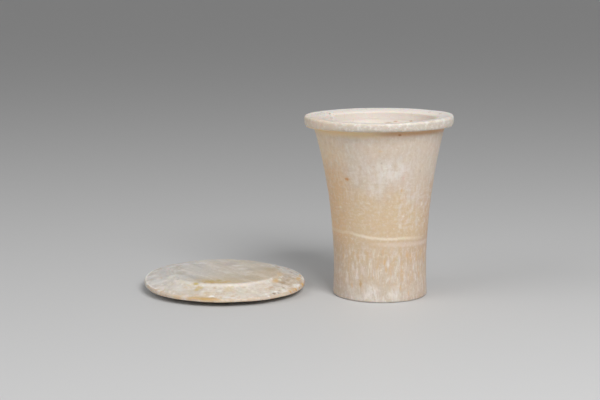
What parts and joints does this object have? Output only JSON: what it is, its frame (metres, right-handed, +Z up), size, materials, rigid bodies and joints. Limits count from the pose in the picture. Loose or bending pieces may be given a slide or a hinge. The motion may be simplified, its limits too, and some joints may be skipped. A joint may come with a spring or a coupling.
{
  "type": "ointment jar",
  "caption": "Flared travertine ointment jar with a rolled rim, its loose domed lid lying upside down beside it with the plug facing up.",
  "frame": {"origin": "centre of the jar's flat underside, on the surface that it stands on", "axes": "+Z up, out of the jar's mouth; the lid lies on the -X side; -Y faces the viewer of the picture"},
  "size_m": [0.1816, 0.1011, 0.1055],
  "materials": {
    "jar_travertine": "honed, dull sheen",
    "lid_travertine": "honed, weathered"
  },
  "bodies": {
    "root": {"jar": "jar_travertine", "lid": "lid_travertine"}
  },
  "joints": []
}
